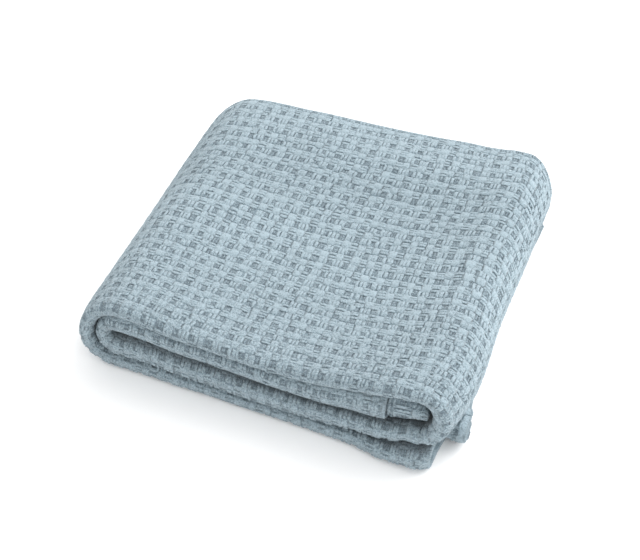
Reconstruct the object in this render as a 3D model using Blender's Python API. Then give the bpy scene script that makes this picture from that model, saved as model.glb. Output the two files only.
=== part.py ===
"""Crib blanket folded into a flat stack, built as one closed cloth solid.

The cloth is folded to four plies front to back, and that long strip is then wrapped across:
it runs to the left underneath, turns up at the left edge, covers the top, turns down at the
right edge, runs back to the left inside, turns up once more and ends inside on the right.
Lengths are in millimetres up to make_blanket, which turns them into metres. X runs along the
front edge, Y from front to back, Z up, and the stack lies on Z = 0.
"""

import math

import bpy

MM = 0.001

# The cloth and the room between its plies.
CLOTH_THICKNESS = 1.8
STRIP_GAP = 0.6
BEND_THICKNESS = {"left": 9.6, "right": 11.5, "inner": 9.6}

# Upper faces of the four lengths of strip, from the lowest to the top one, at stations along X.
# One block for each line across the stack: its place in Y, then a row for each length of strip.
# Between two lines the heights run straight, and every ply has a row of points on each line.
HEIGHT_X = (-104, -85, -55, -20, 15, 50, 80, 90)
HEIGHT_ROWS = (
    (-104, (
        (11.5, 11.5, 10.5, 9.5, 9.3, 10.5, 14.0, 18.5),
        (27.0, 32.0, 30.5, 28.5, 25.5, 25.5, 27.0, 30.0),
        (50.5, 49.0, 45.5, 42.5, 41.5, 46.0, 52.0, 52.0),
        (60.5, 59.0, 55.5, 52.5, 51.5, 56.0, 62.0, 61.5),
    )),
    (-66, (
        (11.0, 11.0, 10.5, 9.5, 9.5, 10.0, 12.5, 16.0),
        (27.5, 30.0, 29.0, 27.0, 26.0, 26.0, 28.0, 30.5),
        (47.0, 46.0, 42.5, 39.0, 38.0, 41.5, 48.0, 50.0),
        (57.0, 56.0, 52.5, 49.0, 48.0, 51.5, 58.0, 59.5),
    )),
    (-10, (
        (11.0, 11.0, 10.5, 10.0, 10.0, 10.5, 11.0, 12.0),
        (28.5, 30.0, 29.0, 28.0, 27.5, 28.0, 29.0, 30.0),
        (45.5, 45.0, 42.0, 38.5, 37.5, 40.0, 46.5, 49.0),
        (55.0, 54.5, 51.5, 48.0, 47.0, 49.5, 56.0, 58.5),
    )),
    (40, (
        (11.0, 11.0, 10.5, 10.5, 10.5, 10.5, 11.0, 11.0),
        (29.0, 30.0, 29.5, 29.0, 29.0, 29.5, 30.5, 31.0),
        (46.0, 46.5, 44.5, 42.5, 41.5, 43.5, 48.0, 50.0),
        (55.5, 56.0, 54.0, 52.0, 51.0, 53.0, 57.5, 59.5),
    )),
    (82, (
        (11.0, 11.0, 11.0, 11.0, 11.0, 11.0, 11.0, 11.0),
        (30.0, 31.0, 31.5, 31.5, 31.5, 32.5, 33.5, 34.0),
        (49.0, 50.0, 50.5, 50.5, 50.5, 52.0, 54.0, 55.0),
        (58.5, 59.5, 60.0, 60.0, 60.0, 61.5, 63.5, 64.5),
    )),
    (108, (
        (10.5, 10.5, 10.5, 10.5, 10.5, 10.5, 10.5, 10.5),
        (28.5, 29.5, 30.0, 30.0, 30.0, 31.0, 31.5, 32.0),
        (46.5, 47.5, 48.0, 48.0, 48.0, 49.5, 51.0, 52.0),
        (56.0, 57.0, 57.5, 57.5, 57.5, 59.0, 60.5, 61.5),
    )),
)

# Where the two side edges of the stack lie at stations along Y, and how far each turn bulges.
SIDE_Y = (-106, -86, -62, -10, 50, 104)
LEFT_EDGE_X = (-125, -126, -127, -127, -127, -125.5)
RIGHT_EDGE_X = (112.5, 116, 117.5, 114.5, 116.5, 119)
LOWEST_END_X = (118.5, 118.5, 115.5, 112.5, 113.5, 116)
LEFT_BULGE = 27.0
LEFT_TURN_INSET = 21.0
RIGHT_BULGE = 20.5
TURN_LEAN = {"left": 0.235, "right": 0.0, "inner": 0.235}
TURN_CLEARANCE = 1.4
INNER_TURN_GAP = 4.0
INNER_TURN_GAP_FADE = 28.0

# Front edge of each length of strip at stations along X, and its soft front fold.
FRONT_X = (-115, -60, 0, 50, 80, 97, 108)
FRONT_Y = {
    "lowest": (-106.5, -106.5, -107.5, -109.5, -114, -115, -111),
    "second": (-106.5, -108, -109, -108.5, -109, -109.5, -109),
    "third": (-105, -106.5, -106.5, -107, -106.5, -105.5, -104.5),
    "top": (-106, -107.5, -107, -107, -106.5, -105.5, -104.5),
}
FRONT_FOLD_SHARE = 0.9
FRONT_FOLD_MOST = 9.5
INNER_FOLD_SETBACK = 6.0
EDGE_RIPPLE = 0.5
EDGE_RIPPLE_LENGTH = 41.0

# Back edge, with the plies a little uneven, and how far the side turns draw it in.
BACK_Y = 109.0
BACK_SLANT = 0.035
BACK_STEPS = {"outer": 0.0, "second": -3.5, "fold": -5.0}
BACK_DRAW_IN = {"outer": 12.0, "second": 9.0, "fold": 5.0}

# Free ends of the strip: the outer two plies stop first and the inner two stand out past them.
LOWEST_END_OUTER = 107.5
LOWEST_INNER_FRONT = -88.0
LOWEST_INNER_FROM = 60.0
THIRD_END_OUTER = 72.0
THIRD_END_INNER = 98.0
THIRD_INNER_FRONT = -104.5
SWELL_X = {"lowest": (107.9, 110.8, 112.0, 118.5), "third": (72.9, 75.2, 86.0, 98.0)}
SWELL_BACK_Y = (-30.0, 40.0)
SWOLLEN_PLIES = {"lowest": (0.04, 1.15), "third": (0.04, 0.96)}
TIP_PLIES = {"lowest": (0.2, 1.0), "third": (0.36, 0.62)}
OUTER_END_ROUND = 14.0
OUTER_END_IN = 10.0
INNER_END_ROUND = 7.0
INNER_END_IN = 3.0

# Plies through the strip's thickness: 0 is its outer side and 1 its inner side.
OUTER_PLY, SECOND_PLY, THIRD_PLY, INNER_PLY = 0.0, 1.0 / 3.0, 2.0 / 3.0, 1.0

# Points along X that every length of strip has between its ends, from left to right, and those
# that each free end has, on its outer and on its inner plies.
STRIP_X = (-80, -58, -38, -20, 0, 20, 40)
STRIP_RIGHT_X = (58, 72, 83, 90)
LOWEST_END_LINES = ((58, 72, 83, 90, 93, 95.5), (58, 72, 83, 90, 107.9, 110.8))
HIDDEN_END_LINES = ((45, 51, 57, 63, 68), (57, 72.9, 75.2, 86, 93))

# Points along Y that every ply has between its folds and edges.
PLY_Y = (-66, -10, 40, 82)

# Number of faces round each turn and each fold.
TURN_STEPS = {"left": 9, "right": 9, "inner": 8}
FOLD_STEPS = {"front": 7, "back": 4, "nested": 4}

BLANKET_COLOR = (0.42, 0.52, 0.58, 1.0)
BLANKET_ROUGHNESS = 0.95

STRIP_ORDER = ("lowest", "second", "third", "top")
OUTER_SIDE_DOWN = ("lowest", "second")


def ease(value):
    """Smooth step from 0 to 1."""
    value = min(1.0, max(0.0, value))
    return value * value * (3.0 - 2.0 * value)


def mix(first, second, share):
    return first + (second - first) * share


def slope_at(stations, values, i):
    """Slope of the smooth curve through the stations at station i."""
    before = max(i - 1, 0)
    after = min(i + 1, len(stations) - 1)
    return (values[after] - values[before]) / (stations[after] - stations[before])


def along(place, stations, values):
    """Value of the smooth curve through the stations, held level past both ends."""
    if place <= stations[0]:
        return values[0]
    for i in range(len(stations) - 1):
        start, end = stations[i], stations[i + 1]
        if place <= end:
            length = end - start
            t = (place - start) / length
            rise = slope_at(stations, values, i) * length
            fall = slope_at(stations, values, i + 1) * length
            return (
                values[i] * (1 + 2 * t) * (1 - t) ** 2
                + values[i + 1] * t * t * (3 - 2 * t)
                + rise * t * (1 - t) ** 2
                - fall * t * t * (1 - t)
            )
    return values[-1]


def upper_face(strip, x, y):
    """Height of the upper face of one length of strip."""
    number = STRIP_ORDER.index(strip)
    rows = HEIGHT_ROWS
    i = sum(1 for row in rows[1:-1] if y > row[0])
    (start, low), (end, high) = rows[i], rows[i + 1]
    share = min(1.0, max(0.0, (y - start) / (end - start)))
    return mix(along(x, HEIGHT_X, low[number]), along(x, HEIGHT_X, high[number]), share)


def ply_height(strip, x, y, ply):
    """Height of the middle of one ply of a length of strip."""
    number = STRIP_ORDER.index(strip)
    low = 0.0
    if number > 0:
        low = upper_face(STRIP_ORDER[number - 1], x, y) + STRIP_GAP
    if strip == "third":
        low += INNER_TURN_GAP * (1.0 - ease((x - HEIGHT_X[0]) / INNER_TURN_GAP_FADE))
    high = upper_face(strip, x, y)
    spread = ply * (high - low - CLOTH_THICKNESS)
    if strip in OUTER_SIDE_DOWN:
        return low + CLOTH_THICKNESS / 2 + spread
    return high - CLOTH_THICKNESS / 2 - spread


def turn_place(turn, y):
    """Where a turn starts in X at the floor, and how far its outer side bulges past that."""
    if turn == "right":
        return along(y, SIDE_Y, RIGHT_EDGE_X) - RIGHT_BULGE, RIGHT_BULGE
    start = along(y, SIDE_Y, LEFT_EDGE_X) + LEFT_TURN_INSET
    if turn == "left":
        return start, LEFT_BULGE
    return start, LEFT_BULGE - BEND_THICKNESS["left"] - TURN_CLEARANCE


def turn_end(turn, strip, y, ply):
    """Point where one ply of a strip runs into a turn, which leans over with its height."""
    start = turn_place(turn, y)[0]
    x = start
    for _ in range(3):
        x = start + TURN_LEAN[turn] * ply_height(strip, x, y, ply)
    return x, ply_height(strip, x, y, ply)


def turn_point(turn, share, y, ply):
    """Point of one ply on a turn, share 0 to 1 of the half circle in the strip's direction."""
    first, second, side = {
        "left": ("lowest", "top", -1.0),
        "right": ("top", "second", 1.0),
        "inner": ("second", "third", -1.0),
    }[turn]
    bulge = turn_place(turn, y)[1]
    reach = bulge - CLOTH_THICKNESS / 2 - ply * (BEND_THICKNESS[turn] - CLOTH_THICKNESS)
    angle = math.pi * share
    passed = (1.0 - math.cos(angle)) / 2
    start_x, start_z = turn_end(turn, first, y, ply)
    end_x, end_z = turn_end(turn, second, y, ply)
    return mix(start_x, end_x, passed) + side * reach * math.sin(angle), mix(start_z, end_z, passed)


def lowest_end(y, inner_share):
    """Right-hand end of the lowest length, rounded off at the front of each fold."""
    outer_round = ease((FRONT_Y["lowest"][-1] + OUTER_END_ROUND - y) / OUTER_END_ROUND)
    inner_round = ease((LOWEST_INNER_FRONT + INNER_END_ROUND - y) / INNER_END_ROUND)
    outer_end = LOWEST_END_OUTER - OUTER_END_IN * outer_round
    inner_end = along(y, SIDE_Y, LOWEST_END_X) - INNER_END_IN * inner_round
    return mix(outer_end, inner_end, inner_share)


def strip_x(strip, station, y, ply, inner_share):
    """X of one of the lines across a length of strip, counted in the strip's direction."""
    if strip == "lowest":
        left = turn_end("left", "lowest", y, ply)[0]
        end = lowest_end(y, inner_share)
        outer_x = (left,) + STRIP_X + LOWEST_END_LINES[0] + (end,)
        inner_x = (left,) + STRIP_X + LOWEST_END_LINES[1] + (end,)
        return mix(outer_x[-1 - station], inner_x[-1 - station], inner_share)
    if strip == "third":
        left = turn_end("inner", "third", y, ply)[0]
        outer_x = (left,) + STRIP_X + HIDDEN_END_LINES[0] + (THIRD_END_OUTER,)
        inner_x = (left,) + STRIP_X + HIDDEN_END_LINES[1] + (THIRD_END_INNER,)
        return mix(outer_x[station], inner_x[station], inner_share)
    right = turn_place("right", y)[0]
    if strip == "top":
        left = turn_end("left", "top", y, ply)[0]
        return ((left,) + STRIP_X + STRIP_RIGHT_X + (right,))[station]
    left = turn_end("inner", "second", y, ply)[0]
    return ((left,) + STRIP_X + STRIP_RIGHT_X + (right,))[-1 - station]


def strip_point(strip, station, y, ply, inner_share):
    x = strip_x(strip, station, y, ply, inner_share)
    if inner_share > 0.0:
        ply = swollen_ply(strip, x, y, ply)
    return x, ply_height(strip, x, y, ply)


def swollen_ply(strip, x, y, ply):
    """Inner two plies at a free end, which swell past the outer ones and close to a tip."""
    if strip not in SWELL_X:
        return ply
    start, full, closing, end = SWELL_X[strip]
    low, high = SWOLLEN_PLIES[strip]
    tip_low, tip_high = TIP_PLIES[strip]
    nested = (ply - SECOND_PLY) / (THIRD_PLY - SECOND_PLY)
    swell = ease((x - start) / (full - start))
    taper = ease((x - closing) / (end - closing))
    shaped = mix(mix(ply, mix(low, high, nested), swell), mix(tip_low, tip_high, nested), taper)
    fade = ease((y - SWELL_BACK_Y[0]) / (SWELL_BACK_Y[1] - SWELL_BACK_Y[0]))
    if x <= start:
        return ply
    return mix(shaped, ply, fade)


def strip_stations():
    """Every line across the strip, in order from its free end underneath to its hidden end."""
    right_lines = {
        "lowest": LOWEST_END_LINES[0],
        "top": STRIP_RIGHT_X,
        "second": STRIP_RIGHT_X,
        "third": HIDDEN_END_LINES[0],
    }
    stations = [("lowest", 0)]
    for run in ("lowest", "left", "top", "right", "second", "inner", "third"):
        if run in TURN_STEPS:
            steps = TURN_STEPS[run]
        else:
            steps = len(STRIP_X) + len(right_lines[run]) + 1
        stations += [(run, i + 1) for i in range(steps)]
    return stations


def section_point(station, y, ply, inner_share):
    run, number = station
    if run in TURN_STEPS:
        return turn_point(run, number / TURN_STEPS[run], y, ply)
    return strip_point(run, number, y, ply, inner_share)


def front_of(station, x):
    """Front edge of the strip at a station, carried smoothly round the turns."""
    run, number = station
    joined = {"left": ("lowest", "top"), "right": ("top", "second"), "inner": ("second", "third")}
    ripple = EDGE_RIPPLE * math.sin(2 * math.pi * x / EDGE_RIPPLE_LENGTH)
    if run in joined:
        first, second = (along(x, FRONT_X, FRONT_Y[name]) for name in joined[run])
        return mix(first, second, ease(number / TURN_STEPS[run])) + ripple
    return along(x, FRONT_X, FRONT_Y[run]) + ripple


def back_of(station, x, ply_name):
    """Back edge of one ply, drawn in where the strip turns at the sides."""
    run, number = station
    drawn = 0.0
    if run in ("left", "right"):
        drawn = BACK_DRAW_IN[ply_name] * math.sin(math.pi * number / TURN_STEPS[run]) ** 2
    step = BACK_STEPS[ply_name]
    ripple = EDGE_RIPPLE * math.sin(2 * math.pi * x / EDGE_RIPPLE_LENGTH + step)
    return BACK_Y + BACK_SLANT * x - drawn + step + ripple


def fold_reach(station, y, first_ply, last_ply, inner_share):
    """How far a fold bulges out past its plies: a share of half its height."""
    first = section_point(station, y, first_ply, inner_share)
    last = section_point(station, y, last_ply, inner_share)
    return min(FRONT_FOLD_MOST, math.dist(first, last) / 2 * FRONT_FOLD_SHARE)


def inner_front(station, x, front):
    """Where the inner two plies fold at the front, which is further back than the outer fold."""
    nested = front + INNER_FOLD_SETBACK
    if station[0] == "lowest":
        set_back = ease((x - LOWEST_INNER_FROM) / (LOWEST_END_OUTER - LOWEST_INNER_FROM))
        return mix(nested, LOWEST_INNER_FRONT, set_back)
    if station[0] == "third":
        start, full = SWELL_X["third"][:2]
        return mix(nested, THIRD_INNER_FRONT, ease((x - start) / (full - start)))
    return nested


def ply_row(station):
    """Points across the cloth at one station, from the outer ply's back edge to the second's."""
    half = CLOTH_THICKNESS / 2
    x_outer = section_point(station, 0.0, OUTER_PLY, 0.0)[0]
    x_inner = section_point(station, 0.0, SECOND_PLY, 1.0)[0]
    front = front_of(station, x_outer) + half
    reach = fold_reach(station, front, OUTER_PLY, INNER_PLY, 0.0)
    fold_y = front + reach
    nested_front = inner_front(station, x_inner, fold_y) + half
    nested_reach = fold_reach(station, nested_front, SECOND_PLY, THIRD_PLY, 1.0)
    nested_y = nested_front + nested_reach
    outer_back = back_of(station, x_outer, "outer")
    fold_back = back_of(station, x_outer, "fold")
    back_reach = fold_reach(station, fold_back, INNER_PLY, THIRD_PLY, 0.0)
    second_back = back_of(station, x_inner, "second")

    row = []

    def add(y, ply, inner_share, bulge=0.0):
        x, z = section_point(station, y, ply, inner_share)
        row.append((x, y + bulge, z))

    def add_ply(start, end, ply, inner_share):
        lines = (start,) + PLY_Y + (end,) if start < end else (start,) + PLY_Y[::-1] + (end,)
        for y in lines:
            add(y, ply, inner_share)

    def add_fold(y, steps, start_ply, end_ply, start_inner, end_inner, bulge):
        for i in range(1, steps):
            angle = math.pi * i / steps
            share = (1 - math.cos(angle)) / 2
            ply = mix(start_ply, end_ply, share)
            add(y, ply, mix(start_inner, end_inner, share), bulge * math.sin(angle))

    add_ply(outer_back, fold_y, OUTER_PLY, 0.0)
    add_fold(fold_y, FOLD_STEPS["front"], OUTER_PLY, INNER_PLY, 0.0, 0.0, -reach)
    add_ply(fold_y, fold_back, INNER_PLY, 0.0)
    add_fold(fold_back, FOLD_STEPS["back"], INNER_PLY, THIRD_PLY, 0.0, 1.0, back_reach)
    add_ply(fold_back, nested_y, THIRD_PLY, 1.0)
    add_fold(nested_y, FOLD_STEPS["nested"], THIRD_PLY, SECOND_PLY, 1.0, 1.0, -nested_reach)
    add_ply(nested_y, second_back, SECOND_PLY, 1.0)
    return row


def clear_scene():
    for item in list(bpy.data.objects):
        bpy.data.objects.remove(item, do_unlink=True)


def blanket_material():
    material = bpy.data.materials.new("blanket_cotton")
    material.use_nodes = True
    shader = material.node_tree.nodes["Principled BSDF"]
    shader.inputs["Base Color"].default_value = BLANKET_COLOR
    shader.inputs["Roughness"].default_value = BLANKET_ROUGHNESS
    shader.inputs["Metallic"].default_value = 0.0
    return material


def split_face(points, a, b, c, d):
    """Two triangles, split the same way on every ply so that the plies stay apart."""
    across = points[c][0] - points[a][0]
    deep = points[c][1] - points[a][1]
    if across * deep > 0.0:
        return [(a, b, c), (a, c, d)]
    return [(a, b, d), (b, c, d)]


def make_blanket():
    rows = [ply_row(station) for station in strip_stations()]
    across = len(rows[0])
    widths = [point[0] for row in rows for point in row]
    shift_x = (min(widths) + max(widths)) / 2
    depths = [point[1] for row in rows for point in row]
    shift_y = (min(depths) - CLOTH_THICKNESS / 2 + max(depths)) / 2
    points = [
        ((x - shift_x) * MM, (y - shift_y) * MM, z * MM) for row in rows for x, y, z in row
    ]
    faces = []
    for i in range(len(rows) - 1):
        for j in range(across - 1):
            first = i * across + j
            faces += split_face(points, first, first + 1, first + across + 1, first + across)
    mesh = bpy.data.meshes.new("blanket")
    mesh.from_pydata(points, [], faces)
    mesh.materials.append(blanket_material())
    mesh.shade_smooth()
    blanket = bpy.data.objects.new("blanket", mesh)
    bpy.context.scene.collection.objects.link(blanket)
    cloth = blanket.modifiers.new("cloth thickness", "SOLIDIFY")
    cloth.thickness = CLOTH_THICKNESS * MM
    cloth.offset = 0.0
    return blanket


clear_scene()
make_blanket()
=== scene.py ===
"""Crib blanket folded into a stack: the woven cloth on the folds of its solid, and its studio.

The cloth is folded to four plies front to back, and that long strip is wrapped across: it runs
to the left underneath, turns up at the left edge, covers the top, turns down at the right edge,
runs back to the left inside, turns up once more and ends inside on the right.
Fold sizes are in millimetres up to the meshes. X runs along the front edge, Y from front to
back, Z up, and the stack lies on Z = 0.
"""

import math
from collections import namedtuple

import bpy
import numpy as np
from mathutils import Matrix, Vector


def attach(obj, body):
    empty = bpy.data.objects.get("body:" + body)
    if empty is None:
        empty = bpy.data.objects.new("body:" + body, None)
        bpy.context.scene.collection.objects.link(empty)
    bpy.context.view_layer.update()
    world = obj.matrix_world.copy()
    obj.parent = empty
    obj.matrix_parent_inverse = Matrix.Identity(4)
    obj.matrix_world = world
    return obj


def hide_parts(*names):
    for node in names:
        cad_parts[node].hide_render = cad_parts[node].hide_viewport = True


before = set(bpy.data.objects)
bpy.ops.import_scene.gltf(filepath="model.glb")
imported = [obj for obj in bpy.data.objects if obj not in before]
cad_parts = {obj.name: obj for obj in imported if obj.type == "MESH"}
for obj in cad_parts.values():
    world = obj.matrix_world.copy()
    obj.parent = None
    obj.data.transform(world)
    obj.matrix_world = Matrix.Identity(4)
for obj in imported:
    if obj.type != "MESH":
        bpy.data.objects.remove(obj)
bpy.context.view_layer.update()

bl_info = {
    "name": "Folded crib blanket",
    "version": (1, 0, 0),
    "blender": (4, 5, 0),
    "location": "3D View > Sidebar > Blanket",
    "description": "Builds a folded woven crib blanket and its studio",
    "category": "Object",
}

MM = 0.001

# The cloth and the room between its plies.
CLOTH_THICKNESS = 1.8
STRIP_GAP = 0.6
BEND_THICKNESS = {"left": 9.6, "right": 11.5, "inner": 9.6}

# Upper faces of the four lengths of strip, from the lowest to the top one, at stations along X.
# One block for each line across the stack: its place in Y, then a row for each length of strip.
# Between two lines the heights run straight, and every ply has a row of points on each line.
HEIGHT_X = (-104, -85, -55, -20, 15, 50, 80, 90)
HEIGHT_ROWS = (
    (-104, (
        (11.5, 11.5, 10.5, 9.5, 9.3, 10.5, 14.0, 18.5),
        (27.0, 32.0, 30.5, 28.5, 25.5, 25.5, 27.0, 30.0),
        (50.5, 49.0, 45.5, 42.5, 41.5, 46.0, 52.0, 52.0),
        (60.5, 59.0, 55.5, 52.5, 51.5, 56.0, 62.0, 61.5),
    )),
    (-66, (
        (11.0, 11.0, 10.5, 9.5, 9.5, 10.0, 12.5, 16.0),
        (27.5, 30.0, 29.0, 27.0, 26.0, 26.0, 28.0, 30.5),
        (47.0, 46.0, 42.5, 39.0, 38.0, 41.5, 48.0, 50.0),
        (57.0, 56.0, 52.5, 49.0, 48.0, 51.5, 58.0, 59.5),
    )),
    (-10, (
        (11.0, 11.0, 10.5, 10.0, 10.0, 10.5, 11.0, 12.0),
        (28.5, 30.0, 29.0, 28.0, 27.5, 28.0, 29.0, 30.0),
        (45.5, 45.0, 42.0, 38.5, 37.5, 40.0, 46.5, 49.0),
        (55.0, 54.5, 51.5, 48.0, 47.0, 49.5, 56.0, 58.5),
    )),
    (40, (
        (11.0, 11.0, 10.5, 10.5, 10.5, 10.5, 11.0, 11.0),
        (29.0, 30.0, 29.5, 29.0, 29.0, 29.5, 30.5, 31.0),
        (46.0, 46.5, 44.5, 42.5, 41.5, 43.5, 48.0, 50.0),
        (55.5, 56.0, 54.0, 52.0, 51.0, 53.0, 57.5, 59.5),
    )),
    (82, (
        (11.0, 11.0, 11.0, 11.0, 11.0, 11.0, 11.0, 11.0),
        (30.0, 31.0, 31.5, 31.5, 31.5, 32.5, 33.5, 34.0),
        (49.0, 50.0, 50.5, 50.5, 50.5, 52.0, 54.0, 55.0),
        (58.5, 59.5, 60.0, 60.0, 60.0, 61.5, 63.5, 64.5),
    )),
    (108, (
        (10.5, 10.5, 10.5, 10.5, 10.5, 10.5, 10.5, 10.5),
        (28.5, 29.5, 30.0, 30.0, 30.0, 31.0, 31.5, 32.0),
        (46.5, 47.5, 48.0, 48.0, 48.0, 49.5, 51.0, 52.0),
        (56.0, 57.0, 57.5, 57.5, 57.5, 59.0, 60.5, 61.5),
    )),
)

# Where the two side edges of the stack lie at stations along Y, and how far each turn bulges.
SIDE_Y = (-106, -86, -62, -10, 50, 104)
LEFT_EDGE_X = (-125, -126, -127, -127, -127, -125.5)
RIGHT_EDGE_X = (112.5, 117, 119.5, 117.5, 119, 119.5)
LOWEST_END_X = (118.5, 118.5, 114, 110, 111, 115.5)
LEFT_BULGE = 27.0
LEFT_TURN_INSET = 21.0
RIGHT_BULGE = 20.5
TURN_LEAN = {"left": 0.235, "right": 0.0, "inner": 0.235}
LEAN_TRIES = 3
TURN_CLEARANCE = 1.4
INNER_TURN_GAP = 4.0
INNER_TURN_GAP_FADE = 28.0

# Front edge of each length of strip at stations along X, and its soft front fold.
FRONT_X = (-115, -60, 0, 50, 80, 97, 108)
FRONT_Y = {
    "lowest": (-106.5, -106.5, -107.5, -109.5, -114, -115, -111),
    "second": (-106.5, -108, -109, -108.5, -109, -109.5, -109),
    "third": (-105, -106.5, -106.5, -107, -106.5, -105.5, -104.5),
    "top": (-106, -107.5, -107, -107, -106.5, -105.5, -104.5),
}
FRONT_FOLD_SHARE = 0.9
FRONT_FOLD_MOST = 9.5
INNER_FOLD_SETBACK = 6.0
EDGE_RIPPLE = 0.5
EDGE_RIPPLE_LENGTH = 41.0

# Back edge, with the plies a little uneven, and how far the side turns draw it in.
BACK_Y = 109.0
BACK_SLANT = 0.035
BACK_STEPS = {"outer": 0.0, "second": -3.5, "fold": -5.0}
BACK_DRAW_IN = {"outer": 12.0, "second": 9.0, "fold": 5.0}

# Free ends of the strip: the outer two plies stop first and the inner two stand out past them.
LOWEST_END_OUTER = 107.5
LOWEST_INNER_FRONT = -88.0
LOWEST_INNER_FROM = 60.0
THIRD_END_OUTER = 73.6
THIRD_END_INNER = 98.0
THIRD_INNER_FRONT = -104.5
SWELL_X = {"lowest": (107.9, 110.8, 112.0, 118.5), "third": (72.9, 75.2, 86.0, 98.0)}
SWELL_BACK_Y = (-30.0, 40.0)
SWOLLEN_PLIES = {"lowest": (0.04, 1.15), "third": (0.04, 0.96)}
TIP_PLIES = {"lowest": (0.2, 1.0), "third": (0.36, 0.62)}
OUTER_END_ROUND = 14.0
OUTER_END_IN = 10.0
INNER_END_ROUND = 7.0
INNER_END_IN = 3.0

# Plies through the strip's thickness: 0 is its outer side and 1 its inner side.
OUTER_PLY, SECOND_PLY, THIRD_PLY, INNER_PLY = 0.0, 1.0 / 3.0, 2.0 / 3.0, 1.0

# Points along X that every length of strip has between its ends, from left to right. Then those
# that each has further right, on its outer and on its inner plies.
STRIP_X = (-80, -58, -38, -20, 0, 20, 40)
STRIP_RIGHT_X = {
    "lowest": ((58, 72, 83, 90, 93, 95.5), (58, 72, 83, 90, 107.9, 110.8)),
    "second": ((58, 72, 83, 90),) * 2,
    "third": ((45, 51, 57, 63, 68), (57, 72.9, 75.2, 86, 93)),
    "top": ((58, 72, 83, 90),) * 2,
}

# Points along Y that every ply has between its folds and edges.
PLY_Y = (-66, -10, 40, 82)

# Number of faces round each turn and each fold.
TURN_STEPS = {"left": 9, "right": 9, "inner": 8}
FOLD_STEPS = {"front": 7, "back": 4, "nested": 4}

# The lengths of strip from the floor up, those that run to the left with their outer side down,
# and the two lengths that each turn joins.
STRIP_ORDER = ("lowest", "second", "third", "top")
OUTER_SIDE_DOWN = ("lowest", "second")
TURN_JOINS = {"left": ("lowest", "top"), "right": ("top", "second"), "inner": ("second", "third")}

# How many times the gentler slope beside it a smooth curve's slope may be.
STEEPEST = 3.0

# The weave: a repeat is two by two blocks, and each block is sampled on a few lines each way.
REPEAT_MM = 10.2
BLOCKS_PER_REPEAT = 2
BLOCK_LINES = 4
CELL_LINES = BLOCKS_PER_REPEAT * BLOCK_LINES
FINE_PARTS = 4
DENSE_STEPS = 6

# Repeats across each ply from one edge or fold to the next, and the rows on which the front
# fold, the back fold and the nested fold lie.
REPEATS_OUTER_PLY = 22
REPEATS_BACK_HALF = 12
REPEATS_INNER_PLIES = (21, 20, 20)
FOLD_ROW = REPEATS_OUTER_PLY
BACK_ROW = FOLD_ROW + REPEATS_INNER_PLIES[0]
NESTED_ROW = BACK_ROW + REPEATS_INNER_PLIES[1]

# How far from the folds and the free ends the strands are laid, in repeats, and into how many
# parts the cells of the turns are split.
NESTED_REPEATS = 3
FOLD_REPEATS_OUTSIDE = 3
FOLD_REPEATS_INSIDE = 2
FREE_END_CELLS = 2
HIDDEN_END_CELLS = 5
MIDDLE_Y_LINE = 2
TURN_PARTS = (("left", "top", 2), ("right", "second", 2), ("inner", "third", 4))
BACK_FOLD_REPEATS = 1.5
HOLLOW_ROUNDNESS = 0.5

# How far the weave lies from straight lines, in repeats: a bow along the strip and a lean across
# it, each with its value at the back and at the front and the rows between which it changes,
# and a small waver.
GRAIN_BOW = (0.3, 0.85)
GRAIN_BOW_ROWS = (3.0, 10.0)
GRAIN_LEAN = (0.2, -0.4)
GRAIN_LEAN_ROWS = (8.0, 15.0)
GRAIN_DRIFT = 0.06
GRAIN_WAVE_ACROSS = 1.7
GRAIN_WAVE_ALONG = 2.3
GRAIN_WAVE_STARTS = (0.6, 1.9)
PLACE_TRIES = 4

# The floats of a repeat: where they start and end along their run and lie side by side, in repeats,
# whether they run across the strip, their half width, half height and lift over the ground in
# millimetres, and their lightness, which is low for the last, the threads sunk in the hollows, as
# painted shade there.
Float = namedtuple("Float", "first last sides across half_width half_height lift light")
FLOATS = (
    Float(-0.05, 0.55, (0.04, 0.25, 0.46), True, 1.18, 0.55, 0.40, 0.95),
    Float(0.42, 1.08, (0.55, 0.75, 0.95), False, 1.18, 0.50, 0.30, 0.90),
    Float(0.40, 1.08, (0.25,), True, 3.4, 0.45, 0.36, 1.0),
    Float(-0.04, 0.54, (0.58, 0.69, 0.80, 0.91), True, 0.72, 0.35, -0.05, 0.32),
)

# A strand's rings along its run: their places, rise, dive, size and lightness, which is painted
# shade where the strand dives at its ends. Then the points of a ring, as shares of its half width
# and half height, and their lightness, which is painted shade on the strand's sides and underneath.
RING_PLACES = np.array([0.0, 0.13, 0.5, 0.87, 1.0])
RING_RISE = np.array([0.0, 0.85, 1.0, 0.85, 0.0])
RING_DIVE = np.array([-0.6, 0.0, 0.0, 0.0, -0.6])
RING_SIZE = np.array([0.6, 0.95, 1.0, 0.95, 0.6])
RING_PAINTED_SHADE = np.array([0.4, 0.9, 1.0, 0.9, 0.4])
SECTION = np.array(
    [(-1.0, 0.0), (-0.55, 0.85), (0.55, 0.85), (1.0, 0.0), (0.55, -0.85), (-0.55, -0.85)]
)
SECTION_PAINTED_SHADE = np.array([0.75, 1.0, 1.0, 0.75, 0.0, 0.0])

# Rows between which the cloth is painted darker as it goes in between two layers, a painted shade,
# and how dark that painted shade gets. Then the painted shade that darkens it towards the front, and
# at the free ends on the inner side, where it darkens towards the hidden end.
PAINTED_SHADE_GAP_ROWS = (21.3, 22.3, 41.5)
PAINTED_SHADE_GAP_FADE = 0.9
PAINTED_SHADE_DARKEST = 0.3
PAINTED_SHADE_FRONT_ROWS = (12.0, 18.0, 21.0, 23.0)
PAINTED_SHADE_TO_FRONT = (1.0, 0.86, 0.76, 0.6)
PAINTED_SHADE_INNER_AT = (20.0, 60.0)
PAINTED_SHADE_INNER = (1.0, 0.6)

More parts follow.
